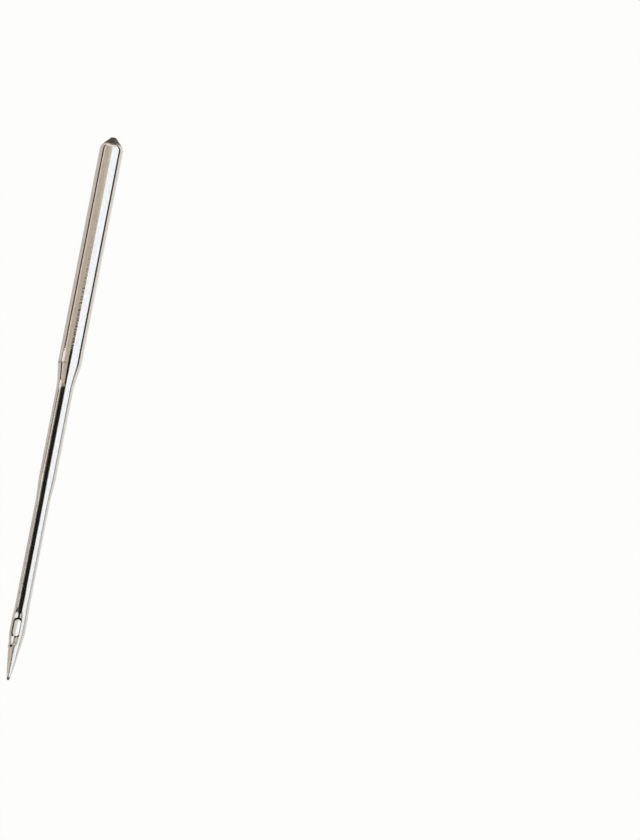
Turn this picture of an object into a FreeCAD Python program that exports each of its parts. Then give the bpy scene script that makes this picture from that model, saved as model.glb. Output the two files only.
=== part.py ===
"""Sewing machine needle with a round shank, as used in industrial lockstitch machines.

One piece of hardened, polished and plated steel wire. It is drawn along X from the butt, which is
clamped in the needle bar, to the point, and places are measured from the butt as on a needle
maker's drawing. The long groove is on the upper side (+Z), the scarf on the lower side (-Z), and
the eye goes through from one to the other. Lengths are in millimetres, angles in degrees.
"""
import FreeCAD, Part
import math
import os

import Sketcher

NODE = "needle"

# Driving dimensions, each written once
SIZES = {
    # Shank, and the conical butt that finds its way into the needle bar
    "shank_diameter": 1.62,
    "shank_length": 16.0,
    "butt_flat": 0.36,
    "butt_angle": 43.5,
    "butt_shoulder": 0.65,
    # Blade, stronger above the step and slimmer below it
    "taper_length": 1.85,
    "taper_cone": 0.9,
    "upper_blade_diameter": 1.18,
    "blade_diameter": 1.0,
    "step_length": 2.5,
    "step_to_eye": 7.9,
    # Eye, and the swell that stamping it leaves in the sides of the blade
    "butt_to_eye": 33.9,
    "eye_length": 1.15,
    "eye_width": 0.42,
    "swell_width": 1.08,
    "swell_ramp": 0.8,
    "swell_before_eye": 0.1,
    "swell_length": 0.95,
    # Point
    "eye_to_tip": 4.2,
    "point_shoulder": 1.0,
    "point_crown": 8.0,
    "crown_length": 0.959,
    "tip_radius": 0.09,
    # Long groove, which carries the thread down to the eye
    "groove_width": 0.3,
    "groove_depth": 0.38,
    "groove_past_taper": 0.55,
    "groove_entry_bend": 1.2,
    "groove_before_eye": 1.3,
    "groove_exit_bend": 2.0,
    # Lead, a wider channel that takes the thread through the eye and runs out below it
    "lead_radius": 0.29,
    "lead_depth": 0.2,
    "lead_past_eye": 0.38,
    "lead_entry_bend": 1.2,
    "lead_exit_bend": 0.4,
    # Scarf, the clearance for the hook, and the land at its lower end
    "scarf_depth": 0.29,
    "scarf_cutter": 4.7,
    "scarf_floor": 2.7,
    "scarf_before_eye": 0.9,
    "heel_radius": 1.95,
    "land_depth": 0.05,
    "land_past_eye": 0.85,
    # Short groove across the land, on the scarf side of the eye
    "short_groove_radius": 0.27,
    "short_groove_depth": 0.14,
    "short_groove_past_eye": 0.1,
    "short_groove_bend": 0.45,
    # How far the outlines and sections of the cuts reach clear of the steel
    "clearance": 0.25,
}

document = FreeCAD.newDocument("sewing_machine_needle")
sheet = document.addObject("Spreadsheet::Sheet", "sizes")
for row, (alias, size) in enumerate(SIZES.items(), start=1):
    sheet.set(f"A{row}", alias.replace("_", " "))
    sheet.set(f"B{row}", str(size))
    sheet.setAlias(f"B{row}", alias)
document.recompute()

# Radii, heights and places that several features share, as expressions on the sheet
SHANK_R = "(sizes.shank_diameter / 2)"
UPPER_R = "(sizes.upper_blade_diameter / 2)"
BLADE_R = "(sizes.blade_diameter / 2)"
SWELL_R = "(sizes.swell_width / 2)"
LENGTH = "(sizes.butt_to_eye + sizes.eye_to_tip)"
TAPER_END = "(sizes.shank_length + sizes.taper_length)"
EYE_TOP = "sizes.butt_to_eye"
EYE_END = "(sizes.butt_to_eye + sizes.eye_length)"
SCARF_END = "(sizes.butt_to_eye - sizes.scarf_before_eye)"
SCARF_FLOOR = f"({BLADE_R} - sizes.scarf_depth)"
LAND = f"({BLADE_R} - sizes.land_depth)"

needle = document.addObject("PartDesign::Body", NODE)
needle.Label = NODE


def new_sketch(name, role, out=None):
    """A sketch on one of the body's own planes, moved out along its normal by an expression."""
    sketch = needle.newObject("Sketcher::SketchObject", name)
    plane = next(each for each in needle.Origin.OriginFeatures if each.Role == role)
    sketch.AttachmentSupport = [(plane, "")]
    sketch.MapMode = "FlatFace"
    if out:
        sketch.setExpression("AttachmentOffset.Base.z", out)
    return sketch


def tie(sketch, kind, items, expression):
    """A dimension in a sketch that follows an expression on the sheet."""
    value = sketch.evalExpression(expression)
    index = sketch.addConstraint(Sketcher.Constraint(kind, *items, value))
    sketch.setExpression(f"Constraints[{index}]", expression)


def hold(sketch, here, across=None, up=None):
    """Ties a point's coordinates to expressions, as distances from the sketch's origin (-1, 1)."""
    for kind, expression in (("DistanceX", across), ("DistanceY", up)):
        if expression is None:
            continue
        if sketch.evalExpression(expression) < 0:
            tie(sketch, kind, (*here, -1, 1), f"-({expression})")
        else:
            tie(sketch, kind, (-1, 1, *here), expression)


class Pen:
    """Draws a chain of lines and arcs whose corners and radii follow expressions.

    A corner is held across ("x"), up ("y"), both or neither, and what isn't held is a first guess
    that smooth joins settle. A smooth piece goes on in the direction of the one before it. An arc
    bulges to the left of the pen's way where its radius is positive.
    """

    def __init__(self, sketch, across, up, held="xy"):
        self.sketch, self.last = sketch, None
        self.place, self.held = (across, up), held
        self.first = self.at = self.point(across, up)

    def point(self, across, up):
        across, up = (float(self.sketch.evalExpression(each)) for each in (across, up))
        return FreeCAD.Vector(across, up, 0)

    def end_at(self, piece, point):
        """Which end of a piece lies at a point, because a clockwise arc is stored end first."""
        return min((1, 2), key=lambda end: self.sketch.getPoint(piece, end).distanceToPoint(point))

    def hold_end(self, piece, corner, place, held):
        across, up = (each if letter in held else None for each, letter in zip(place, "xy"))
        hold(self.sketch, (piece, self.end_at(piece, corner)), across, up)

    def join(self, before, piece, corner, smooth):
        ends = (before, self.end_at(before, corner), piece, self.end_at(piece, corner))
        kind = "Tangent" if smooth else "Coincident"
        self.sketch.addConstraint(Sketcher.Constraint(kind, *ends))

    def draw(self, shape, finish, place, held, smooth):
        piece = self.sketch.addGeometry(shape)
        if self.last is None:
            self.hold_end(piece, self.at, self.place, self.held)
        else:
            self.join(self.last, piece, self.at, smooth)
        self.hold_end(piece, finish, place, held)
        self.last, self.at = piece, finish
        return piece

    def line(self, across, up, held="xy", smooth=False, slope=None):
        """A straight piece, and its slope in degrees where that settles it."""
        finish = self.point(across, up)
        piece = self.draw(Part.LineSegment(self.at, finish), finish, (across, up), held, smooth)
        if slope:
            lean = math.radians(self.sketch.evalExpression(slope))
            index = self.sketch.addConstraint(Sketcher.Constraint("Angle", piece, lean))
            self.sketch.setExpression(f"Constraints[{index}]", f"{slope} * 1 deg")
        return piece

    def arc(self, across, up, radius, held="xy", smooth=True, fixed=True):
        """A round piece. Its radius is only a guess where it isn't fixed."""
        finish = self.point(across, up)
        bulge = float(self.sketch.evalExpression(radius))
        half = (finish - self.at).Length / 2
        reach = max(abs(bulge), half)
        rise = math.copysign(reach - math.sqrt(reach**2 - half**2), bulge)
        left = FreeCAD.Vector(self.at.y - finish.y, finish.x - self.at.x, 0).normalize()
        shape = Part.Arc(self.at, (self.at + finish) / 2 + left * rise, finish)
        piece = self.draw(shape, finish, (across, up), held, smooth)
        if fixed:
            tie(self.sketch, "Radius", (piece,), radius.removeprefix("-"))
        return piece

    def close(self):
        """A line back to the first corner."""
        piece = self.sketch.addGeometry(Part.LineSegment(self.at, self.first))
        self.join(self.last, piece, self.at, False)
        self.join(piece, 0, self.first, False)

    def relate(self, kind, *items):
        self.sketch.addConstraint(Sketcher.Constraint(kind, *items))


def sine(angle):
    return f"sin({angle} * 1 deg)"


def cosine(angle):
    return f"cos({angle} * 1 deg)"


def run_of(radius, rise):
    """How far an arc that starts level has gone when it has risen so much."""
    return f"sqrt(2 * {radius} * {rise} - {rise}^2)"


def worked_out(cut, before):
    """Works out a cut, and makes sure that it has taken steel away."""
    document.recompute()
    after = cut.Shape.Volume
    if not 0 < after < before:
        raise RuntimeError(f"{cut.Name} took no steel away: {before:.4f} to {after:.4f} mm3")
    print(f"{cut.Name}: {before:.4f} to {after:.4f} mm3")
    return after


def punch(name, outline, before):
    """Takes an outline out of the whole needle, both ways from the plane through its axis."""
    cut = needle.newObject("PartDesign::Pocket", name)
    cut.Profile = outline
    cut.Type = "ThroughAll"
    cut.Midplane = True
    return worked_out(cut, before)


def mill(name, path, section, before):
    """Sweeps a cutter's section along its path through the steel."""
    cut = needle.newObject("PartDesign::SubtractivePipe", name)
    cut.Profile = section
    cut.Spine = (path, [f"Edge{number + 1}" for number in range(path.GeometryCount)])
    cut.Mode = "Standard"
    cut.Transition = "Transformed"
    return worked_out(cut, before)


def round_channel(name, radius, centre, start, end, entry, leave, before):
    """A round channel along a level line, with a quarter turn away from the axis at each end.

    The centre line lies outside the steel. Without an entry bend the channel starts square.
    """
    path = new_sketch(f"{name}_path", "XZ_Plane")
    above = path.evalExpression(centre) > 0
    out, hollow = ("+", "-") if above else ("-", "")
    if entry:
        pen = Pen(path, f"{start} - {entry}", f"{centre} {out} {entry}", held="y")
        pen.arc(start, centre, f"{hollow}{entry}", smooth=False)
    else:
        pen = Pen(path, start, centre)
    pen.line(end, centre, smooth=bool(entry))
    pen.arc(f"{end} + {leave}", f"{centre} {out} {leave}", f"{hollow}{leave}", held="y")

    section = new_sketch(f"{name}_section", "YZ_Plane", out=f"({start} + {end}) / 2")
    middle = FreeCAD.Vector(0, section.evalExpression(centre), 0)
    size = section.evalExpression(radius)
    circle = section.addGeometry(Part.Circle(middle, FreeCAD.Vector(0, 0, 1), size))
    # Point 3 of a circle is its centre, and -2 is the sketch's upright axis
    section.addConstraint(Sketcher.Constraint("PointOnObject", circle, 3, -2))
    hold(section, (circle, 3), up=centre)
    tie(section, "Radius", (circle,), radius)
    return mill(name, path, section, before)


# Blank: the drawn, ground and stamped wire from butt to point, as half of its section
taper_bend = f"(sizes.taper_length^2 / ({SHANK_R} - {UPPER_R}) / 2)"
step_end = f"({EYE_TOP} - sizes.step_to_eye)"
step_start = f"({step_end} - sizes.step_length)"
step_bend = f"(sizes.step_length^2 / ({UPPER_R} - {BLADE_R}) / 4)"
swell_start = f"({EYE_TOP} - sizes.swell_before_eye)"
ramp_start = f"({swell_start} - sizes.swell_ramp)"
ramp_bend = f"(sizes.swell_ramp^2 / ({SWELL_R} - {BLADE_R}) / 4)"
shoulder_start = f"({SHANK_R} - sizes.butt_shoulder * (1 - {cosine('sizes.butt_angle')}))"
point_start = f"({swell_start} + sizes.swell_length)"
point_slope = f"({SWELL_R} / ({LENGTH} - {point_start}))"
cone_start = f"({point_start} + sizes.point_shoulder * {point_slope})"
cone_height = f"({SWELL_R} - sizes.point_shoulder * {point_slope}^2 / 2)"
crown_height = f"(sizes.tip_radius + sizes.crown_length * {point_slope})"

profile = new_sketch("blank_profile", "XZ_Plane")
pen = Pen(profile, "0", "0")
pen.line("0", "sizes.butt_flat / 2")
pen.line("sizes.butt_shoulder", shoulder_start, held="", slope="sizes.butt_angle")
pen.arc(f"sizes.butt_shoulder * (1 + {sine('sizes.butt_angle')})", SHANK_R, "sizes.butt_shoulder",
        held="y")
pen.line("sizes.shank_length", SHANK_R, smooth=True)
pen.line("sizes.shank_length + sizes.taper_cone", f"({SHANK_R} + 2 * {UPPER_R}) / 3", held="x")
pen.arc(TAPER_END, UPPER_R, f"-{taper_bend}", fixed=False)
pen.line(step_start, UPPER_R, smooth=True)
step_round = pen.arc(f"({step_start} + {step_end}) / 2", f"({UPPER_R} + {BLADE_R}) / 2", step_bend,
                     held="", fixed=False)
step_hollow = pen.arc(step_end, BLADE_R, f"-{step_bend}", fixed=False)
pen.line(ramp_start, BLADE_R, smooth=True)
ramp_hollow = pen.arc(f"({ramp_start} + {swell_start}) / 2", f"({BLADE_R} + {SWELL_R}) / 2",
                      f"-{ramp_bend}", held="", fixed=False)
ramp_round = pen.arc(swell_start, SWELL_R, ramp_bend, fixed=False)
pen.line(point_start, SWELL_R, smooth=True)
pen.arc(cone_start, cone_height, "sizes.point_shoulder", held="")
pen.line(f"{LENGTH} - sizes.crown_length", crown_height, held="x", smooth=True)
pen.arc(f"{LENGTH} - sizes.tip_radius", "sizes.tip_radius", "sizes.point_crown", held="")
tip_round = pen.arc(LENGTH, "0", "sizes.tip_radius")
pen.close()
pen.relate("Equal", step_round, step_hollow)
pen.relate("Equal", ramp_hollow, ramp_round)
# The tip's round is centred (point 3) on the needle's axis (-1)
pen.relate("PointOnObject", tip_round, 3, -1)

blank = needle.newObject("PartDesign::Revolution", "blank")
blank.Profile = profile
blank.ReferenceAxis = (profile, ["H_Axis"])
blank.Angle = 360
document.recompute()
volume = blank.Shape.Volume

# Scarf: a hollow across the lower side, swept in by a large cutter, with a heel up to the land
scarf_start = f"({SCARF_END} - sizes.scarf_floor)"
below_steel = f"(-{SWELL_R} - sizes.clearance)"
sweep_in = run_of("sizes.scarf_cutter", f"(-{below_steel} - {SCARF_FLOOR})")
heel_rise = f"(({LAND} - {SCARF_FLOOR}) / 2)"
heel_run = run_of("sizes.heel_radius", heel_rise)
land_end = f"({EYE_END} + sizes.land_past_eye)"

outline = new_sketch("scarf_outline", "XZ_Plane")
pen = Pen(outline, land_end, below_steel)
pen.line(land_end, f"-{LAND}")
pen.line(f"{SCARF_END} + 2 * {heel_run}", f"-{LAND}", held="y")
pen.arc(f"{SCARF_END} + {heel_run}", f"-({SCARF_FLOOR} + {heel_rise})", "sizes.heel_radius",
        held="")
pen.arc(SCARF_END, f"-{SCARF_FLOOR}", "-sizes.heel_radius")
pen.line(scarf_start, f"-{SCARF_FLOOR}", smooth=True)
pen.arc(f"{scarf_start} - {sweep_in}", below_steel, "-sizes.scarf_cutter", held="y")
pen.close()
volume = punch("scarf", outline, volume)

# Long groove: a round-nosed cutter sinks in below the taper and rises again just above the eye
groove_floor = f"({BLADE_R} - sizes.groove_depth)"
groove_half = "(sizes.groove_width / 2)"
groove_start = f"({TAPER_END} + sizes.groove_past_taper)"
groove_end = f"({EYE_TOP} - sizes.groove_before_eye)"
above_steel = f"({UPPER_R} + sizes.clearance)"

path = new_sketch("long_groove_path", "XZ_Plane")
pen = Pen(path, f"{groove_start} - sizes.groove_entry_bend",
          f"{groove_floor} + sizes.groove_entry_bend", held="y")
pen.arc(groove_start, groove_floor, "-sizes.groove_entry_bend", smooth=False)
pen.line(groove_end, groove_floor, smooth=True)
pen.arc(f"{groove_end} + sizes.groove_exit_bend", f"{groove_floor} + sizes.groove_exit_bend",
        "-sizes.groove_exit_bend", held="y")

section = new_sketch("long_groove_section", "YZ_Plane", out=f"({groove_start} + {groove_end}) / 2")
pen = Pen(section, f"-{groove_half}", above_steel)
pen.line(f"-{groove_half}", f"{groove_floor} + {groove_half}")
pen.arc(groove_half, f"{groove_floor} + {groove_half}", f"-{groove_half}", fixed=False)
pen.line(groove_half, above_steel)
pen.close()
volume = mill("long_groove", path, section, volume)

# Lead: over the eye on the groove side, with its own round floor
volume = round_channel(
    "lead", "sizes.lead_radius", f"({BLADE_R} - sizes.lead_depth + sizes.lead_radius)",
    EYE_TOP, f"({EYE_END} + sizes.lead_past_eye)", "sizes.lead_entry_bend", "sizes.lead_exit_bend",
    volume,
)

# Short groove: from the scarf across the land, past the eye
volume = round_channel(
    "short_groove", "sizes.short_groove_radius",
    f"(-{LAND} + sizes.short_groove_depth - sizes.short_groove_radius)",
    SCARF_END, f"({EYE_END} + sizes.short_groove_past_eye)", None, "sizes.short_groove_bend",
    volume,
)

# Eye: a slot with round ends, punched through from the lead to the short groove
eye_half = "(sizes.eye_width / 2)"
outline = new_sketch("eye_outline", "XY_Plane")
pen = Pen(outline, f"{EYE_TOP} + {eye_half}", eye_half)
pen.arc(f"{EYE_TOP} + {eye_half}", f"-{eye_half}", f"-{eye_half}", smooth=False, fixed=False)
pen.line(f"{EYE_END} - {eye_half}", f"-{eye_half}", smooth=True)
pen.arc(f"{EYE_END} - {eye_half}", eye_half, f"-{eye_half}", fixed=False)
pen.close()
volume = punch("eye", outline, volume)

# Resting place: on its shank, point towards -X, with the groove up, centred over the origin
needle.Placement.Rotation = FreeCAD.Rotation(FreeCAD.Vector(0, 0, 1), 180)
needle.setExpression("Placement.Base.x", f"{LENGTH} / 2")
needle.setExpression("Placement.Base.z", SHANK_R)
document.recompute()

for each in document.Objects:
    if "Invalid" in each.State or "Error" in each.State:
        raise RuntimeError(f"{each.Name} failed: {each.State}")
shape = needle.Shape
if shape.isNull() or not shape.isValid() or len(shape.Solids) != 1:
    raise RuntimeError(f"{NODE} is not one sound solid")

os.makedirs("parts", exist_ok=True)
shape.exportStep(f"parts/{NODE}.step")
print(f"{NODE}: {shape.Volume:.4f} mm3, centre of mass {shape.CenterOfGravity}")
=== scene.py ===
import bmesh
import bpy
import numpy as np
from mathutils import Matrix


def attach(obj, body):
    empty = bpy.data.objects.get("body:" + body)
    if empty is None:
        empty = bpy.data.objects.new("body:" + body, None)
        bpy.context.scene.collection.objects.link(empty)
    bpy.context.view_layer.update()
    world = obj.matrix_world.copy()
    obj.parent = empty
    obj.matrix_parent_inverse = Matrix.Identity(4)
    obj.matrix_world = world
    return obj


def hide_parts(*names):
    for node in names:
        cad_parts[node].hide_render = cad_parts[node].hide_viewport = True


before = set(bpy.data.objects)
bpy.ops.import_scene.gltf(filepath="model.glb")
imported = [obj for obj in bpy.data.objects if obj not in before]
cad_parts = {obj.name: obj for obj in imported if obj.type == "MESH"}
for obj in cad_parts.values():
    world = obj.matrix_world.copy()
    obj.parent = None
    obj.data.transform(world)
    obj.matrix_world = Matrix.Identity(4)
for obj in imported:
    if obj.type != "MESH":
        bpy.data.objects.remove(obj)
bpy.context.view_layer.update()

# Needle
# One length of round steel wire, ground down in two steps from the thick shank to the slim blade,
# milled with its grooves and its scarf, punched through for the eye, hardened, polished and plated.
# Places (s) are millimetres from the butt, and heights and widths are from the axis.
LENGTH = 38.1
SHANK_RADIUS, SHANK_END = 0.81, 16.0
BUTT_FLAT, BUTT_SLOPE, BUTT_SHOULDER = 0.18, np.radians(43.5), 0.65
TAPER_END, TAPER_BEND = 17.85, 6.0
UPPER_RADIUS, STEP_START, STEP_END = 0.59, 23.5, 26.0
BLADE_RADIUS, RAMP_START = 0.5, 33.0
SWELL_RADIUS, SWELL_START, POINT_START = 0.54, 33.8, 34.75
POINT_SHOULDER, POINT_SLOPE, POINT_CROWN, TIP_RADIUS = 1.0, np.radians(7.1), 8.0, 0.09


def side(radius, run):
    """The other side of a right triangle: the root of radius squared less run squared, or 0."""
    return np.sqrt(np.maximum(radius**2 - np.square(run), 0.0))


def sag(radius, run):
    """How far an arc has fallen away from its tangent: the radius less its other side."""
    return radius - side(radius, run)


def ease(s, start, end, before, after):
    """From one height to another on two equal arcs, each over half of the way.

    The arcs' radius is the way squared over four times the change of height.
    """
    way, change = end - start, after - before
    bend = way**2 / abs(change) / 4
    near, far = sag(bend, np.minimum(s - start, way / 2)), sag(bend, np.minimum(end - s, way / 2))
    return np.where(s < start + way / 2, before + np.sign(change) * near,
                    after - np.sign(change) * far)


# The butt's shoulder is the arc that touches its cone and the shank
shoulder_edge = SHANK_RADIUS - BUTT_SHOULDER * (1 - np.cos(BUTT_SLOPE))
cone_length = (shoulder_edge - BUTT_FLAT) / np.tan(BUTT_SLOPE)
shoulder_end = cone_length + BUTT_SHOULDER * np.sin(BUTT_SLOPE)

# The taper is the line from the shank's end that touches the bend at the upper blade
bend_way, bend_height = TAPER_END - SHANK_END, UPPER_RADIUS + TAPER_BEND - SHANK_RADIUS
bend_away = np.hypot(bend_way, bend_height)
taper_slope = np.arctan2(bend_height, bend_way) - np.arcsin(TAPER_BEND / bend_away)
taper_touch = SHANK_END + side(bend_away, TAPER_BEND) * np.cos(taper_slope)

# The point's crown is the arc that touches its cone and, from outside, the round tip
cone_start = POINT_START + POINT_SHOULDER * np.sin(POINT_SLOPE)
cone_height = SWELL_RADIUS - POINT_SHOULDER * (1 - np.cos(POINT_SLOPE))
along = np.array([np.cos(POINT_SLOPE), -np.sin(POINT_SLOPE)])
inwards = np.array([-np.sin(POINT_SLOPE), -np.cos(POINT_SLOPE)])
tip_centre = np.array([LENGTH - TIP_RADIUS, 0.0])
gap = np.array([cone_start, cone_height]) + POINT_CROWN * inwards - tip_centre
reach = -gap @ along - side(np.hypot(gap @ along, POINT_CROWN - TIP_RADIUS), np.hypot(*gap))
crown_touch = cone_start + reach * along[0]
crown_centre = tip_centre + gap + reach * along
tip_touch = tip_centre[0] + TIP_RADIUS * (tip_centre - crown_centre)[0] / (POINT_CROWN - TIP_RADIUS)


def blank_radius(s):
    """The radius at a place: lines and arcs in a row, each touching the next."""
    pieces = [
        (cone_length, BUTT_FLAT + s * np.tan(BUTT_SLOPE)),
        (shoulder_end, SHANK_RADIUS - sag(BUTT_SHOULDER, shoulder_end - s)),
        (SHANK_END, SHANK_RADIUS + 0 * s),
        (taper_touch, SHANK_RADIUS + (s - SHANK_END) * np.tan(taper_slope)),
        (TAPER_END, UPPER_RADIUS + sag(TAPER_BEND, TAPER_END - s)),
        (STEP_START, UPPER_RADIUS + 0 * s),
        (STEP_END, ease(s, STEP_START, STEP_END, UPPER_RADIUS, BLADE_RADIUS)),
        (RAMP_START, BLADE_RADIUS + 0 * s),
        (SWELL_START, ease(s, RAMP_START, SWELL_START, BLADE_RADIUS, SWELL_RADIUS)),
        (POINT_START, SWELL_RADIUS + 0 * s),
        (cone_start, SWELL_RADIUS - sag(POINT_SHOULDER, s - POINT_START)),
        (crown_touch, cone_height - (s - cone_start) * np.tan(POINT_SLOPE)),
        (tip_touch, crown_centre[1] + side(POINT_CROWN, s - crown_centre[0])),
        (np.inf, side(TIP_RADIUS, s - tip_centre[0])),
    ]
    return np.select([s <= end for end, _ in pieces], [radius for _, radius in pieces])


# The long groove carries the thread down the blade into a wider round channel, the lead, which
# takes it through the eye and runs out on the point. The other side has the hook's long hollow,
# the scarf, then a flat land behind the eye and a short round groove across the land.
GROOVE_HALF, GROOVE_FLOOR = 0.15, 0.12
GROOVE_START, GROOVE_ENTRY, GROOVE_END, GROOVE_EXIT = 18.4, 1.2, 32.6, 2.0
LEAD_RADIUS, LEAD_CENTRE = 0.29, 0.59
LEAD_START, LEAD_ENTRY, LEAD_END, LEAD_EXIT = 33.9, 1.2, 35.43, 0.4
SCARF_FLOOR, SCARF_START, SCARF_END = 0.21, 30.3, 33.0
SCARF_CUTTER, CUTTER_REACH, HEEL, LAND = 4.7, 3.0, 1.95, 0.45
SHORT_RADIUS, SHORT_CENTRE = 0.27, 0.58
SHORT_START, SHORT_END, SHORT_EXIT = 33.0, 35.15, 0.45
EYE_TOP, EYE_END, EYE_HALF, EYE_EDGE = 33.9, 35.05, 0.21, 0.045
mouth_half = EYE_HALF + EYE_EDGE


def beyond(s, start, end):
    """How far a place is before the start or past the end of a cut's level floor."""
    return np.maximum(start - s, 0), np.maximum(s - end, 0)


def groove_height(s, y):
    """The long groove's floor: half a round, carried along a line with a bend at each end.

    In a bend the floor is a circle about the bend's axis, as much smaller as it lies higher.
    """
    rise = sag(GROOVE_HALF, np.minimum(y, GROOVE_HALF))
    before, after = beyond(s, GROOVE_START, GROOVE_END)
    entry = GROOVE_FLOOR + GROOVE_ENTRY - side(GROOVE_ENTRY - rise, before)
    leave = GROOVE_FLOOR + GROOVE_EXIT - side(GROOVE_EXIT - rise, after)
    return np.maximum(entry, leave)


def channel_height(s, y, radius, centre, start, entry, end, leave):
    """A round channel's floor: its centre line less the round's side at that width.

    In an end bend it is a ring: a circle about the bend's axis, larger by that side.
    """
    depth = side(radius, y)
    before, after = beyond(s, start, end)
    return np.maximum(centre + entry - side(entry + depth, before),
                      centre + leave - side(leave + depth, after))


def lead_height(s, y):
    """The wide channel about the eye on the groove side."""
    return channel_height(s, y, LEAD_RADIUS, LEAD_CENTRE, LEAD_START, LEAD_ENTRY, LEAD_END,
                          LEAD_EXIT)


def short_height(s, y):
    """The short groove on the scarf side, as a height below the axis."""
    return channel_height(s, y, SHORT_RADIUS, SHORT_CENTRE, SHORT_START, SHORT_EXIT, SHORT_END,
                          SHORT_EXIT)


def scarf_height(s):
    """The scarf and the land, as a height below the axis.

    A large cutter's arc leads in, then comes the level floor, and the heel eases up to the land.
    Before the cutter's reach nothing is cut.
    """
    rise = (LAND - SCARF_FLOOR) / 2
    run = side(HEEL, HEEL - rise)
    heel = ease(s, SCARF_END, SCARF_END + 2 * run, SCARF_FLOOR, LAND)
    lead_in = SCARF_FLOOR + sag(SCARF_CUTTER, np.minimum(SCARF_START - s, SCARF_CUTTER))
    lead_in = np.where(s < SCARF_START - CUTTER_REACH, np.inf, lead_in)
    return np.select([s < SCARF_START, s < SCARF_END, s < SCARF_END + 2 * run],
                     [lead_in, SCARF_FLOOR + 0 * s, heel], LAND)


def eye_mouth(s):
    """Half of the eye's width outside its rounded edge, and the outline's direction outwards.

    The outline is a slot: straight sides, and an end of the same half width about each end's
    centre. Before and past the eye the width is 0.
    """
    before, after = beyond(s, EYE_TOP + EYE_HALF, EYE_END - EYE_HALF)
    width = side(mouth_half, before + after)
    return width, (after - before) / mouth_half, width / mouth_half


def meet(lower, upper, near, far):
    """Where a rising cut comes up through a surface: the gap is halved until it is nothing."""
    low, high = near + 0 * far, far + 0 * near
    for _ in range(40):
        middle = (low + high) / 2
        inside = lower(middle) < upper(middle)
        low, high = np.where(inside, middle, low), np.where(inside, high, middle)
    return np.where(lower(near) < upper(near), low, near)


def run_out(height, floor_end, way, most):
    """How far past its level floor a cut comes up through the round wire.

    The way is 1 towards the point and -1 towards the butt.
    """
    return meet(lambda past: height(floor_end + way * past),
                lambda past: blank_radius(floor_end + way * past), np.array(0.0), np.array(most))


def spread(start, end, count, first=1.0, last=1.0):
    """Places from start to end, drawn together at an end whose power is above 1."""
    share = np.linspace(0.0, 1.0, count)
    share = share**first
    share = 1 - (1 - share) ** last
    return start + (end - start) * share


# The cross-sections: each line is a stretch with its count, closest where the form turns fastest
BURR_FROM, BURR_TO, SHORT_TAIL = 35.7, 35.95, 0.2
groove_opens = run_out(lambda s: groove_height(s, 0.0), GROOVE_START, -1, most=1.0)
lead_closes = run_out(lambda s: lead_height(s, 0.0), LEAD_END, 1, most=0.65)
short_closes = run_out(lambda s: short_height(s, 0.0), SHORT_END, 1, most=0.65)
scarf_opens = run_out(scarf_height, SCARF_START, -1, most=2.5)
slot_round = mouth_half * np.sin(np.linspace(0, np.pi / 2, 15))
stations = np.unique(np.round(np.concatenate([
    spread(0.0, cone_length, 12),
    spread(cone_length, shoulder_end, 20),
    spread(shoulder_end, SHANK_END, 14),
    spread(SHANK_END, taper_touch, 8),
    spread(taper_touch, TAPER_END, 20),
    spread(GROOVE_START - groove_opens, GROOVE_START, 44, first=2.0),
    spread(GROOVE_START, STEP_START, 12),
    spread(STEP_START, STEP_END, 18),
    spread(STEP_END, SCARF_START - scarf_opens, 6),
    spread(SCARF_START - scarf_opens, SCARF_START, 30, first=2.0),
    spread(SCARF_START, GROOVE_END, 8),
    spread(GROOVE_END, EYE_TOP - EYE_EDGE, 70),
    EYE_TOP + EYE_HALF - slot_round,
    spread(EYE_TOP + EYE_HALF, EYE_END - EYE_HALF, 12),
    EYE_END - EYE_HALF + slot_round,
    spread(EYE_END + EYE_EDGE, LEAD_END, 14),
    SHORT_END + short_closes - spread(0.0, SHORT_TAIL, 14, first=2.0),
    LEAD_END + lead_closes - spread(0.0, lead_closes, 30, first=2.0),
    spread(BURR_FROM, BURR_TO, 13),
    spread(LEAD_END + lead_closes, tip_touch, 20, last=1.5),
]), 7))
tip_turn = np.arccos((tip_touch - tip_centre[0]) / TIP_RADIUS)
tip_angles = np.linspace(tip_turn, 0, 9)[1:]
flat_rounds = np.array([0.0, 0.5, 0.9]) * BUTT_FLAT
s = np.concatenate([0 * flat_rounds, stations, tip_centre[0] + TIP_RADIUS * np.cos(tip_angles)])
blank = np.concatenate([flat_rounds, blank_radius(stations), TIP_RADIUS * np.sin(tip_angles)])
s, blank = s[:, None], blank[:, None]


def outside(y):
    """The blank's height over the axis at a width: the other side of its radius."""
    return side(blank, y)


def over_groove(y):
    """What the long groove is cut into: the lower one of the blank and the lead."""
    return np.minimum(outside(y), lead_height(s, y))


def under_short(y):
    """What the short groove is cut into, below the axis: the nearer of the blank and the land."""
    return np.minimum(outside(y), scarf_height(s))


mouth, mouth_along, mouth_across = eye_mouth(s)
groove_edge = meet(lambda y: groove_height(s, y), over_groove, 0 * s, GROOVE_HALF + 0 * s)
groove_edge = np.maximum(groove_edge, mouth)
lead_edge = meet(lambda y: lead_height(s, y), outside, groove_edge,
                 np.maximum(groove_edge, LEAD_RADIUS))
short_edge = meet(lambda y: short_height(s, y), under_short, mouth, np.maximum(mouth, SHORT_RADIUS))
scarf_edge = np.maximum(side(blank, np.minimum(scarf_height(s), blank)), short_edge)


def shares(count):
    """Even shares of a strip, from 0 to 1, in a row."""
    return np.linspace(0.0, 1.0, count)[None, :]


def turned(radius, low, high, count):
    """Widths from low to high that are even round a circle of that radius."""
    start, end = (np.arcsin(np.clip(width / radius, 0, 1)) for width in (low, high))
    return np.clip(radius * np.sin(start + (end - start) * shares(count)), low, high)


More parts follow.
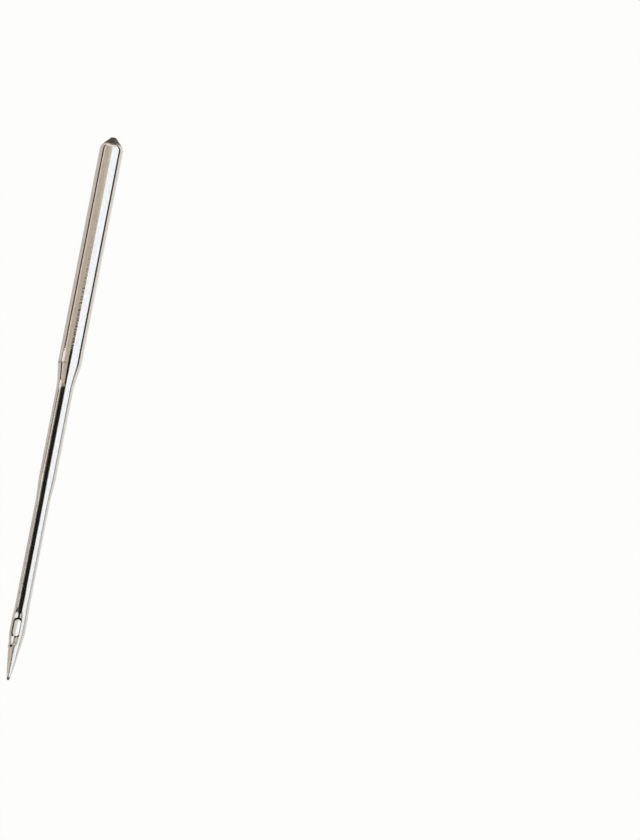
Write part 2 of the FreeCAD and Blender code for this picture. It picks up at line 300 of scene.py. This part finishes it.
def polished(y, z, rim):
    """Outlines whose corners the polishing wheel has rounded.

    Each place moves to the mean of its own outline over a rim's length to both sides of it: the
    difference of the running area there, over the length. Past an end the outline goes on as its
    own copy turned half round, so both ends stay where they are.
    """
    steps = np.hypot(np.diff(y), np.diff(z))
    start = np.zeros((len(y), 1))
    length = np.concatenate([start, np.cumsum(steps, axis=1)], axis=1)
    whole = length[:, -1:]
    moved = []
    for line in (y, z):
        strips = (line[:, 1:] + line[:, :-1]) / 2 * steps
        area = np.concatenate([start, np.cumsum(strips, axis=1)], axis=1)
        means = 0
        for sign in (1, -1):
            place = length + sign * rim
            folded = np.where(place > whole, 2 * whole - place, np.abs(place))
            below = np.stack([np.interp(*row) for row in zip(folded, length, area)])
            past = (2 * line[:, :1] * np.minimum(place, 0)
                    + 2 * line[:, -1:] * np.maximum(place - whole, 0))
            means = means + sign * (below + past) / (2 * rim)
        moved.append(means)
    return moved


# One half of each cross-section, from the middle of the groove round to the middle of the scarf
TINY, EDGE_BAND = 1e-9, 0.06
floor_y = np.where(groove_edge > mouth, turned(GROOVE_HALF, 0 * s, groove_edge, 11), mouth)
floor_z = np.minimum(groove_height(s, floor_y), over_groove(floor_y))
wall_z = floor_z[:, -1:] + (over_groove(groove_edge) - floor_z[:, -1:]) * spread(0, 1, 10, last=2.0)
wall_y = groove_edge + 0 * wall_z
lead_y = turned(LEAD_RADIUS, groove_edge, lead_edge, 12)
lead_z = over_groove(lead_y)
arc_start = np.arcsin(np.clip(lead_edge / np.maximum(blank, TINY), 0, 1))
arc_end = np.pi - np.arcsin(np.clip(scarf_edge / np.maximum(blank, TINY), 0, 1))
arc_shares = np.concatenate([
    np.linspace(0, EDGE_BAND, 7),
    np.linspace(EDGE_BAND, 1 - EDGE_BAND, 42)[1:-1],
    np.linspace(1 - EDGE_BAND, 1, 7),
])[None, :]
arc = arc_start + (arc_end - arc_start) * arc_shares
scarf_y = scarf_edge + (short_edge - scarf_edge) * spread(0.0, 1.0, 10, first=1.6)[None, :]
scarf_z = -under_short(scarf_y)
short_y = turned(SHORT_RADIUS, mouth, short_edge, 10)[:, ::-1]
short_z = -np.minimum(short_height(s, short_y), under_short(short_y))
strips_y = (floor_y, wall_y, lead_y, blank * np.sin(arc), scarf_y, short_y)
strips_z = (floor_z, wall_z, lead_z, blank * np.cos(arc), scarf_z, short_z)
half_y, half_z = np.concatenate(strips_y, axis=1), np.concatenate(strips_z, axis=1)
half_s = s + 0 * half_y

# Each column's strip, counted from the groove's floor, 0, to the short groove
WALL, CHANNEL, ROUND, SHORT = 1, 2, 3, 5
strip = np.repeat(np.arange(len(strips_y)), [part.shape[1] for part in strips_y])[None, :]

# The wheel rounds the rims of the cuts, less about the eye, but it doesn't get down into them
RIM_OF_BLADE, RIM_OF_EYE, WHEEL_PAST = 0.085, 0.035, 0.8
RIM_NARROWS, RIM_NARROW = SCARF_END - 0.6, SCARF_END + 0.4
cut = np.flatnonzero(((s > TAPER_END) & (s < LEAD_END + WHEEL_PAST))[:, 0])
rim = ease(s[cut], RIM_NARROWS, RIM_NARROW, RIM_OF_BLADE, RIM_OF_EYE)
rim = np.clip(rim, RIM_OF_EYE, RIM_OF_BLADE)
half_y[cut], half_z[cut] = polished(half_y[cut], half_z[cut], rim)

# Painted shade: the colour goes dark in both grooves, darker deeper down, where the lead starts and
# stops and along its middle, and on the eye's rims. The needle's left side gets more painted shade,
# on the eye's rim, at a corner, in a spot at the lead's end and along a line slanting out from
# there, each given by its place, its width from the axis and how far it reaches both ways, and it
# has a small burr. The shares run from 0 to 1, and one worked out above 1 is fully dark over more
# of its width.
OPEN_LEAST, NEAR_EDGE = 0.003, (0.7, 0.9)
DARK_DEPTH, SHORT_DEPTH, LEAVING_DEPTH = (0.1, 0.2), (0.0, 0.1), (0.0, 0.03)
END_RIM, SIDE_RIM, END_SHARE = (0.1155, 0.0605), (0.085, 0.035), (0.0, 0.4)
MIDDLE_DOT, CORNER_DOT = 0.06, (0.13, 0.17)
LEAD_LINE_FROM, LEAD_LINE_HALF = LEAD_START - 0.6, 0.05
RUN_IN_MARK, RUN_IN_REACH, RUN_OUT_FROM, RUN_OUT_FULL = 33.2, 0.13, 35.66, 35.74
LEFT_END_SHADE, CORNER = (35.76, 0.16, 0.08, 0.085), (33.3, 0.2, 0.16, 0.045)
SLANT_FROM, SLANT_TO, SLANT_ROOT, SLANT_SLOPE, SLANT_HALF = 35.4, 35.8, 35.44, 0.5, 0.03
BURR_HEIGHT, BURR_PLACE, BURR_REACH, BURR_TURN, BURR_ROUND = 0.05, 35.8, 0.05, 1.35, 0.4


def grows(value, start, end):
    """0 on the start's side of the way from start to end, 1 past the end, and even between them."""
    return np.clip((value - start) / (end - start), 0, 1)


def bell(distance, reach):
    """1 at no distance, falling off both ways: e to the minus square of distance over reach."""
    return np.exp(-np.square(distance / reach))


def spot(place, width, reach_along, reach_across):
    """1 at a mark's middle on the half cross-sections, falling off as a bell both ways."""
    return bell(s - place, reach_along) * bell(half_y - width, reach_across)


def eye_rim(s, y):
    """Shares of painted shade for the eye's ends and for its sides, both strongest on the rim
    itself.

    At the lower end only the middle and the corners are dark.
    """
    past = sum(beyond(s, EYE_TOP + EYE_HALF, EYE_END - EYE_HALF))
    away = np.hypot(y, past)
    from_rim = np.abs(away - mouth_half)
    lengthwise = np.square(past / np.maximum(away, TINY))
    dots = np.maximum(1.4 * bell(y, MIDDLE_DOT), grows(y, *CORNER_DOT))
    ends = grows(from_rim, *END_RIM) * grows(lengthwise, *END_SHARE)
    ends = ends * np.where(s > EYE_END - EYE_HALF, dots, 1.0)
    return ends, 0.85 * grows(from_rim, *SIDE_RIM) * (s < EYE_END)


depth = blank - np.hypot(half_y, half_z)
ends, sides = eye_rim(s, half_y)
in_groove = (strip <= WALL) & (groove_edge > mouth + OPEN_LEAST)
in_short = (strip == SHORT) & (short_edge > mouth + OPEN_LEAST)
near_edge = grows(half_y / np.maximum(lead_edge, TINY), *NEAR_EDGE)
lead_line = bell(half_y, LEAD_LINE_HALF) * (strip <= CHANNEL) * (s > LEAD_LINE_FROM) * (s < EYE_TOP)
run_in = bell(s - RUN_IN_MARK, RUN_IN_REACH) * near_edge * (strip == CHANNEL)
leaving = grows(s, RUN_OUT_FROM, RUN_OUT_FULL) * grows(depth, *LEAVING_DEPTH) * (strip <= CHANNEL)
# The share of painted shade in the grooves, in the lead and on the eye's ends
painted_shade = np.maximum.reduce([
    np.where(strip == WALL, 0.3, 0.92) * grows(depth, *DARK_DEPTH) * in_groove,
    0.6 * grows(depth, *SHORT_DEPTH) * in_short,
    1.5 * lead_line,
    0.8 * run_in,
    0.7 * leaving,
    ends * (half_z > 0),
])
# A slanting line of painted shade from the lead's end out to the left
slanting_shade = bell(half_y - SLANT_SLOPE * (s - SLANT_ROOT), SLANT_HALF)
slanting_shade = slanting_shade * (s > SLANT_FROM) * (s < SLANT_TO)
marks = [sides, 1.8 * spot(*LEFT_END_SHADE), 1.6 * spot(*CORNER), 0.8 * slanting_shade]
left_shade = np.maximum.reduce(marks) * (half_z > 0)

# The mill leaves the long groove rough, floor and walls, and past the run-in the wheel has reached
# a little further down the walls
MILLED_DEPTH, WALL_DEPTH = (0.01, 0.06), (0.03, 0.09)
shallow = strip < np.where(s > GROOVE_START, WALL, CHANNEL)
milled = np.maximum(grows(depth, *MILLED_DEPTH) * shallow * in_groove,
                    grows(depth, *WALL_DEPTH) * (strip == WALL) * in_groove)
burr = BURR_HEIGHT * bell(s - BURR_PLACE, BURR_REACH) * bell(arc - BURR_TURN, BURR_ROUND)
left_burr = 0 * half_y
left_burr[:, strip[0] == ROUND] = burr / np.maximum(blank, TINY)

# The eye's lining: a rounded edge down from each mouth, and a straight wall between the two
SEAM_LEAST, RIM_SHADE = 1e-6, 0.07
eye_span = (s >= EYE_TOP - EYE_EDGE - SEAM_LEAST) & (s <= EYE_END + EYE_EDGE + SEAM_LEAST)
in_eye = np.flatnonzero(eye_span[:, 0])
edge_turn = np.linspace(0, np.pi / 2, 6)[None, :]
edge_in, edge_down = EYE_EDGE * np.sin(edge_turn), EYE_EDGE * (1 - np.cos(edge_turn))
wall_shares = shares(8)[:, 1:-1]
upper, lower = half_z[in_eye, :1], half_z[in_eye, -1:]
straight = upper - EYE_EDGE + (lower - upper + 2 * EYE_EDGE) * wall_shares
eye_z = np.concatenate([upper - edge_down, straight, lower + edge_down[:, ::-1]], axis=1)
eye_in = np.concatenate([edge_in, EYE_EDGE + 0 * wall_shares, edge_in[:, ::-1]], axis=1)
eye_s = s[in_eye] - mouth_along[in_eye] * eye_in
eye_y = np.maximum(mouth[in_eye] - mouth_across[in_eye] * eye_in, 0)
# Painted shade runs down the eye's lining from its upper rim, fading as it goes
upper_edge = bell(upper - eye_z, RIM_SHADE)
ends, sides = eye_rim(eye_s, eye_y)
patches = ((half_s, half_y, half_z, left_burr, milled, painted_shade, left_shade),
           (eye_s, eye_y, eye_z, 0 * eye_y, 0 * eye_y, ends * upper_edge, sides * upper_edge))


def grid_faces(rows, columns, first):
    """The quads of a grid whose points are numbered row by row."""
    corner = first + np.arange(rows - 1)[:, None] * columns + np.arange(columns - 1)[None, :]
    return np.stack([corner, corner + 1, corner + columns + 1, corner + columns],
                    axis=-1).reshape(-1, 4)


def placed(s, y, z):
    """Millimetres from the butt as metres in the row frame: the groove up, the point towards -X."""
    return np.stack([LENGTH / 2 - s, -y, z + SHANK_RADIUS], axis=-1).reshape(-1, 3) / 1000


# Both halves, the right one and its mirror image, are joined into one closed skin
MERGE, SLIVER, SHARP_FROM = 4e-8, 2e-8, np.radians(38)
points, quads, painted_shades, walls = [], [], [], []
for hand in (1, -1):
    for patch_s, patch_y, patch_z, left_growth, wall, shade_both_sides, left_shade in patches:
        growth = 1 + left_growth * (hand < 0)
        quads.append(grid_faces(*patch_y.shape, sum(map(len, points))))
        points.append(placed(patch_s, hand * growth * patch_y, growth * patch_z))
        painted_shades.append(np.maximum(shade_both_sides, left_shade * (hand < 0)).reshape(-1))
        walls.append(wall.reshape(-1))
mesh = bpy.data.meshes.new("dressed_needle")
mesh.from_pydata(np.concatenate(points), [], np.concatenate(quads).tolist())
# The painted shade goes to the material as a share at each point
mesh.attributes.new("painted_shade", "FLOAT", "POINT").data.foreach_set("value", np.concatenate(painted_shades))
mesh.attributes.new("milled", "FLOAT", "POINT").data.foreach_set("value", np.concatenate(walls))
skin = bmesh.new()
skin.from_mesh(mesh)
bmesh.ops.remove_doubles(skin, verts=skin.verts, dist=MERGE)
bmesh.ops.dissolve_degenerate(skin, edges=skin.edges, dist=SLIVER)
bmesh.ops.recalc_face_normals(skin, faces=skin.faces)
skin.to_mesh(mesh)
skin.free()
mesh.shade_smooth()
mesh.set_sharp_from_angle(angle=SHARP_FROM)
dressed = bpy.data.objects.new("dressed_needle", mesh)
bpy.context.scene.collection.objects.link(dressed)
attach(dressed, "root")
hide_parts("needle")

# Nickel plating: nearly mirror-bright along the shank, with faint marks of the polishing belt and
# the slight waves that it leaves. The butt's cone and the very tip are only ground and are painted
# nearly black, on the cone as painted shade. A ring of painted shade lies in the crease at the
# shank's end, on the needle's left half only, and the cuts get their painted shade.
NICKEL, SHADE_COLOUR = (0.87, 0.855, 0.83, 1), (0.015, 0.011, 0.009, 1)
GROUND_AND_SHADE_DARK, GROUND_AND_SHADE_PALE = (0.01, 0.007, 0.005, 1), (0.11, 0.095, 0.072, 1)
BELT_GRAIN, WAVE_GRAIN, SCRATCH_GRAIN = (3500, 14000, 14000), (7500, 3500, 3500), (2500, 5000, 5000)
BELT_CONTRAST, WAVE_HEIGHT = 0.55, 3e-6
CONE_GROUND_AND_SHADE, TIP_BARE, RING_SHADE = 0.9, 0.88, 0.5
RING_HALF, RING_SOFT, RING_LEFT_FROM, RING_LEFT_FULL = 0.055, 0.035, -0.0002, 0.0003
BRIGHT, BELT_ROUGH, BLADE_ROUGH, LOWER_ROUGH = 0.01, 0.08, 0.07, 0.14
POINT_ROUGH, MILLED_ROUGH, DULL_ROUGH = 0.03, 0.45, 0.16
SCRATCH_SHADES, SCRATCHED, LOWER_BLADE = (0.36, 0.68), (-0.1, 0.45), (20.0, 31.0)
BUTT_WAVES, MORE_WAVES, FEWER_WAVES, MORE_ON, FEWER_ON = 0.2, 0.8, 0.6, (6.0, 14.0), (30.0, 35.0)
steel = bpy.data.materials.new("plated_steel")
steel.use_nodes = True
dressed.data.materials.append(steel)
tree = steel.node_tree
shader = tree.nodes["Principled BSDF"]
shader.inputs["Metallic"].default_value = 1.0


def feed(tree, socket, value):
    """Puts a number, a colour or another node's output into a socket."""
    if isinstance(value, bpy.types.NodeSocket):
        tree.links.new(value, socket)
    else:
        socket.default_value = value


def maths(tree, operation, *values):
    """A Math node's output: the operation done on numbers or on other nodes' outputs."""
    node = tree.nodes.new("ShaderNodeMath")
    node.operation = operation
    for socket, value in zip(node.inputs, values):
        feed(tree, socket, value)
    return node.outputs[0]


def rises(tree, value, start, end):
    """A smooth step: 0 on the start's side of the way from start to end, and 1 past the end."""
    node = tree.nodes.new("ShaderNodeMapRange")
    node.interpolation_type = "SMOOTHSTEP"
    for name, number in (("Value", value), ("From Min", start), ("From Max", end)):
        feed(tree, node.inputs[name], number)
    return node.outputs["Result"]


def between(tree, value, low, high, soft):
    """1 where a value lies between low and high, and 0 from a soft width outside them."""
    return maths(tree, "MULTIPLY", rises(tree, value, low - soft, low + soft),
                 rises(tree, value, high + soft, high - soft))


def blended(tree, share, first, second):
    """The first colour, with a share of the second in its place."""
    node = tree.nodes.new("ShaderNodeMix")
    node.data_type = "RGBA"
    for name, value in (("Factor", share), ("A", first), ("B", second)):
        feed(tree, node.inputs[name], value)
    return node.outputs["Result"]


def coordinates(tree, kind):
    """A place in the coordinates of that kind, and its three parts."""
    place = tree.nodes.new("ShaderNodeTexCoord").outputs[kind]
    apart = tree.nodes.new("ShaderNodeSeparateXYZ")
    tree.links.new(place, apart.inputs[0])
    return place, *apart.outputs


def noise(tree, place, stretch, detail):
    """Noise over a place whose three directions are stretched by three factors."""
    mapping = tree.nodes.new("ShaderNodeMapping")
    mapping.inputs["Scale"].default_value = stretch
    tree.links.new(place, mapping.inputs["Vector"])
    node = tree.nodes.new("ShaderNodeTexNoise")
    node.inputs["Scale"].default_value = 1.0
    node.inputs["Detail"].default_value = detail
    tree.links.new(mapping.outputs["Vector"], node.inputs["Vector"])
    return node.outputs["Fac"]


def attribute(tree, name):
    """The mesh's own value of that name."""
    node = tree.nodes.new("ShaderNodeAttribute")
    node.attribute_name = name
    return node.outputs["Fac"]


place, place_x, place_y, _ = coordinates(tree, "Object")
from_butt = maths(tree, "MULTIPLY_ADD", place_x, -1000.0, LENGTH / 2)
belt = noise(tree, place, BELT_GRAIN, 3.0)
plate = tree.nodes.new("ShaderNodeVectorMath")
plate.operation = "SCALE"
plate.inputs[0].default_value = NICKEL[:3]
feed(tree, plate.inputs["Scale"],
     maths(tree, "MULTIPLY_ADD", belt, BELT_CONTRAST, 1 - BELT_CONTRAST / 2))

# Painted shade: the butt's cone goes nearly black, and the ground tip is painted nearly black too
cone = rises(tree, from_butt, cone_length + 0.1, cone_length - 0.02)
tip = rises(tree, from_butt, LENGTH - 0.32, LENGTH - 0.12)
# Painted shade: a dark ring in the crease at the shank's end, on the left half only
ring = between(tree, from_butt, SHANK_END - RING_HALF, SHANK_END + RING_HALF, RING_SOFT)
ring = maths(tree, "MULTIPLY", ring, rises(tree, place_y, RING_LEFT_FROM, RING_LEFT_FULL))
ground_and_shade = 0.0
for mask, most in ((cone, CONE_GROUND_AND_SHADE), (tip, TIP_BARE), (ring, RING_SHADE)):
    ground_and_shade = maths(tree, "MAXIMUM", ground_and_shade, maths(tree, "MULTIPLY", mask, most))
scratches = rises(tree, noise(tree, place, SCRATCH_GRAIN, 3.0), *SCRATCH_SHADES)
scratches = maths(tree, "MULTIPLY", scratches, rises(tree, from_butt, *SCRATCHED))
plate_ground_and_shade = blended(tree, ground_and_shade, plate.outputs["Vector"],
                 blended(tree, scratches, GROUND_AND_SHADE_DARK, GROUND_AND_SHADE_PALE))
# Painted shade in the cuts and on the eye's rims: the colour goes nearly black by the mesh's share
shade_share = attribute(tree, "painted_shade")
feed(tree, shader.inputs["Base Color"], blended(tree, shade_share, plate_ground_and_shade, SHADE_COLOUR))

rough = maths(tree, "MULTIPLY_ADD", belt, BELT_ROUGH, BRIGHT)
for mask, more in (
    (rises(tree, from_butt, TAPER_END - 1.2, TAPER_END + 1.0), BLADE_ROUGH),
    (rises(tree, from_butt, *LOWER_BLADE), LOWER_ROUGH),
    (rises(tree, from_butt, POINT_START, cone_start + 0.9), POINT_ROUGH),
    (attribute(tree, "milled"), MILLED_ROUGH),
    (maths(tree, "MAXIMUM", ground_and_shade, shade_share), DULL_ROUGH),
):
    rough = maths(tree, "MULTIPLY_ADD", mask, more, rough)
feed(tree, shader.inputs["Roughness"], rough)

wave = noise(tree, place, WAVE_GRAIN, 2.0)
waviness = maths(tree, "MULTIPLY_ADD", rises(tree, from_butt, *MORE_ON), MORE_WAVES, BUTT_WAVES)
waviness = maths(tree, "MULTIPLY_ADD", rises(tree, from_butt, *FEWER_ON), -FEWER_WAVES, waviness)
bump = tree.nodes.new("ShaderNodeBump")
bump.inputs["Distance"].default_value = WAVE_HEIGHT
feed(tree, bump.inputs["Height"], maths(tree, "MULTIPLY", wave, waviness))
feed(tree, shader.inputs["Normal"], bump.outputs["Normal"])

# Table
# A plain pale sheet under the needle. The camera sees it nearly white, with the needle's soft
# shadow. In the plating the sheet mostly glows instead, as a painted reflection: painted shade on
# the needle's left, painted light on its right, then a painted dark band, fainter towards the
# point, and far off a painted white.
TABLE_REACH, TABLE_COLOUR, SEEN_WHITE, MIRRORED = 0.6, (0.71, 0.67, 0.63, 1), 0.95, 0.95
PAINTED_SHADE_LEFT, PAINTED_LIGHT_RIGHT = (0.57, 0.52, 0.47, 1), (0.78, 0.745, 0.70, 1)
PAINTED_DARK_BAND, PAINTED_WHITE_BEYOND = (0.03, 0.022, 0.016, 1), (1.02, 1.07, 1.12, 1)
LIT_TO, SHADED_FROM = -0.0005, 0.0015
DARK_FROM, DARK_FULL, DARK_LAST, DARK_TO = -0.003, -0.0034, -0.04, -0.05
POINT_SHARE, POINT_SIDE, BUTT_SIDE, PAPER_ROUGH = 0.6, 0.001, 0.003, 0.9
table_mesh = bpy.data.meshes.new("table")
corners = TABLE_REACH * np.array([(-1, -1, 0), (1, -1, 0), (1, 1, 0), (-1, 1, 0)])
table_mesh.from_pydata(corners.tolist(), [], [(0, 1, 2, 3)])
table = bpy.data.objects.new("table", table_mesh)
bpy.context.scene.collection.objects.link(table)

paper = bpy.data.materials.new("pale_sheet")
paper.use_nodes = True
table_mesh.materials.append(paper)
tree = paper.node_tree
matt = tree.nodes["Principled BSDF"]
matt.inputs["Base Color"].default_value = TABLE_COLOUR
matt.inputs["Roughness"].default_value = PAPER_ROUGH
matt.inputs["Specular IOR Level"].default_value = 0.0
_, place_x, place_y, _ = coordinates(tree, "Object")
# The painted reflection: painted shade left, painted light right, a painted dark band, painted
# white beyond
painted_reflection = blended(tree, rises(tree, place_y, LIT_TO, SHADED_FROM), PAINTED_LIGHT_RIGHT, PAINTED_SHADE_LEFT)
painted_reflection = blended(tree, rises(tree, place_y, DARK_LAST, DARK_TO), painted_reflection, PAINTED_WHITE_BEYOND)
painted_dark_share = maths(tree, "MULTIPLY", rises(tree, place_y, DARK_FROM, DARK_FULL),
             rises(tree, place_y, DARK_TO, DARK_LAST))
butt_share = rises(tree, place_x, POINT_SIDE, BUTT_SIDE)
painted_dark_share = maths(tree, "MULTIPLY", painted_dark_share,
             maths(tree, "MULTIPLY_ADD", butt_share, 1 - POINT_SHARE, POINT_SHARE))
painted_reflection = blended(tree, painted_dark_share, painted_reflection, PAINTED_DARK_BAND)
ray = tree.nodes.new("ShaderNodeLightPath").outputs
sheet_glow = tree.nodes.new("ShaderNodeEmission")
feed(tree, sheet_glow.inputs["Color"], blended(tree, ray["Is Camera Ray"], painted_reflection, (1, 1, 1, 1)))
sheet = tree.nodes.new("ShaderNodeMixShader")
feed(tree, sheet.inputs["Fac"],
     maths(tree, "MULTIPLY_ADD", ray["Is Camera Ray"], SEEN_WHITE,
           maths(tree, "MULTIPLY", ray["Is Glossy Ray"], MIRRORED)))
tree.links.new(matt.outputs["BSDF"], sheet.inputs[1])
tree.links.new(sheet_glow.outputs["Emission"], sheet.inputs[2])
tree.links.new(sheet.outputs["Shader"], tree.nodes["Material Output"].inputs["Surface"])

# Camera
# It looks down on the needle from a little to its right and a little towards its point, and the
# needle leans in the picture as it does in the photograph. Its middle is given in pixels there.
PICTURE_WIDTH, PICTURE_HEIGHT, PIXELS_PER_MM = 640, 840, 14.57
MIDDLE_ACROSS, MIDDLE_DOWN = 61.1, 407.7
DISTANCE, SENSOR, NEAREST = 0.4, 0.024, 0.001
FROM_RIGHT, FROM_POINT, LEAN = np.radians(12.0), np.radians(6.0), np.radians(10.8)
towards = np.array([-np.tan(FROM_POINT), -np.tan(FROM_RIGHT), 1.0])
towards /= np.linalg.norm(towards)
lengthwise = np.array([1.0, 0, 0]) - towards[0] * towards
lengthwise /= np.linalg.norm(lengthwise)
crosswise = np.cross(lengthwise, towards)
camera_up = np.cos(LEAN) * lengthwise - np.sin(LEAN) * crosswise
camera_right = np.sin(LEAN) * lengthwise + np.cos(LEAN) * crosswise
middle = np.array([0, 0, SHANK_RADIUS / 1000])
middle_right, middle_up = MIDDLE_ACROSS - PICTURE_WIDTH / 2, PICTURE_HEIGHT / 2 - MIDDLE_DOWN
aim = middle - (middle_right * camera_right + middle_up * camera_up) / PIXELS_PER_MM / 1000
camera_data = bpy.data.cameras.new("camera")
camera_data.sensor_fit = "VERTICAL"
camera_data.sensor_height = SENSOR * 1000
camera_data.lens = PIXELS_PER_MM * 1000 * DISTANCE * SENSOR / PICTURE_HEIGHT * 1000
camera_data.clip_start = NEAREST
camera = bpy.data.objects.new("camera", camera_data)
bpy.context.scene.collection.objects.link(camera)
axes = np.stack([camera_right, camera_up, towards, aim + DISTANCE * towards], axis=1)
camera.matrix_world = Matrix([*axes, (0, 0, 0, 1)])
bpy.context.scene.camera = camera

# Studio
# A broad white screen stands to the needle's right and a dim warm wall to its left, with a dark gap
# low in it. The blade and the point have a paler screen at their left, a dark stand reaches over
# from beyond the point, and two soft lamps beyond the butt and the point light the table.

# Angles are in degrees: the turn goes round the needle, from straight up to its right, and the
# lean goes towards its point. A third number is how soft a pair's edges are.
DARK_GAP, WHITE_SCREEN = (0.07, 0.04, 0.034), (1.02, 1.07, 1.12)
BANDS = [
    (-90, (0.62, 0.55, 0.5)), (-81, (0.62, 0.55, 0.5)), (-79, DARK_GAP), (-63, DARK_GAP),
    (-61, (0.74, 0.66, 0.58)), (-50, (0.68, 0.6, 0.51)), (-42, (0.5, 0.43, 0.35)),
    (-8, (0.52, 0.455, 0.375)), (15, (0.66, 0.6, 0.52)), (19, (0.72, 0.69, 0.62)),
    (23, WHITE_SCREEN), (90, WHITE_SCREEN),
]
STAND, STAND_TURN, STAND_LEAN = (0.03, 0.022, 0.018, 1), (-5.0, 20.0, 2.0), (-6.6, 60.0, 1.2)
PALE_SCREEN, PALE_GAP_TURN, PALE_TURN = (0.97, 0.94, 0.89, 1), (-86.5, -76.5, 1.0), (-40.0, -60.0)
BLADE_LEAN, POINT_LEAN = (-4.75, 3.0, 0.2), (9.8, 10.4)
ENDS, ENDS_LEAN = (0.85, 0.78, 0.71, 1), (40.0, 50.0)
FAR_ENDS, FAR_ENDS_LEAN = (0.3, 0.27, 0.23, 1), (62.0, 72.0)
SEEN_PALE = (0.95, 0.95, 0.95, 1)
world = bpy.data.worlds.new("studio")
world.use_nodes = True
bpy.context.scene.world = world
tree = world.node_tree
_, along_x, along_y, along_z = coordinates(tree, "Generated")
turn = maths(tree, "DEGREES",
             maths(tree, "ARCTAN2", maths(tree, "MULTIPLY", along_y, -1.0), along_z))
lean = maths(tree, "DEGREES", maths(tree, "ARCSINE", maths(tree, "MULTIPLY", along_x, -1.0)))
ramp = tree.nodes.new("ShaderNodeValToRGB")
feed(tree, ramp.inputs["Fac"], maths(tree, "DIVIDE", maths(tree, "ADD", turn, 90.0), 180.0))
stops = ramp.color_ramp.elements
for number, (angle, colour) in enumerate(BANDS):
    stop = stops[number] if number < 2 else stops.new((angle + 90) / 180)
    stop.position, stop.color = (angle + 90) / 180, (*colour, 1)
pale_lean = maths(tree, "MAXIMUM", between(tree, lean, *BLADE_LEAN), rises(tree, lean, *POINT_LEAN))
pale_share = maths(tree, "MULTIPLY", pale_lean, rises(tree, turn, *PALE_TURN))
pale_screen = blended(tree, between(tree, turn, *PALE_GAP_TURN), PALE_SCREEN, (*DARK_GAP, 1))
screens = blended(tree, pale_share, ramp.outputs["Color"], pale_screen)
end_lean = maths(tree, "ABSOLUTE", lean)
for angles, colour in ((ENDS_LEAN, ENDS), (FAR_ENDS_LEAN, FAR_ENDS)):
    screens = blended(tree, rises(tree, end_lean, *angles), screens, colour)
stand_share = maths(tree, "MULTIPLY", between(tree, turn, *STAND_TURN),
                    between(tree, lean, *STAND_LEAN))
sky = tree.nodes["Background"]
feed(tree, sky.inputs["Color"], blended(tree, stand_share, screens, STAND))
pale = tree.nodes.new("ShaderNodeBackground")
pale.inputs["Color"].default_value = SEEN_PALE
ray = tree.nodes.new("ShaderNodeLightPath").outputs
seen = tree.nodes.new("ShaderNodeMixShader")
feed(tree, seen.inputs["Fac"], ray["Is Camera Ray"])
tree.links.new(sky.outputs["Background"], seen.inputs[1])
tree.links.new(pale.outputs["Background"], seen.inputs[2])
tree.links.new(seen.outputs["Shader"], tree.nodes["World Output"].inputs["Surface"])

LAMP_LENGTH, LAMP_WIDTH, LAMP_WATTS, LAMP_TILT = 0.5, 0.25, 1.15, np.radians(48)
LAMP_AWAY, LAMP_RIGHT, LAMP_HEIGHT = 0.45, 0.12, 0.4
for name, end in (("lamp_butt", 1), ("lamp_point", -1)):
    lamp_data = bpy.data.lights.new(name, "AREA")
    lamp_data.shape, lamp_data.size, lamp_data.size_y = "RECTANGLE", LAMP_LENGTH, LAMP_WIDTH
    lamp_data.energy = LAMP_WATTS
    lamp = bpy.data.objects.new(name, lamp_data)
    bpy.context.scene.collection.objects.link(lamp)
    lamp.location = (LAMP_AWAY * end, -LAMP_RIGHT, LAMP_HEIGHT)
    lamp.rotation_euler = (0.0, LAMP_TILT * end, 0.0)
    lamp.visible_glossy = False
bpy.context.scene.view_settings.view_transform = "Standard"
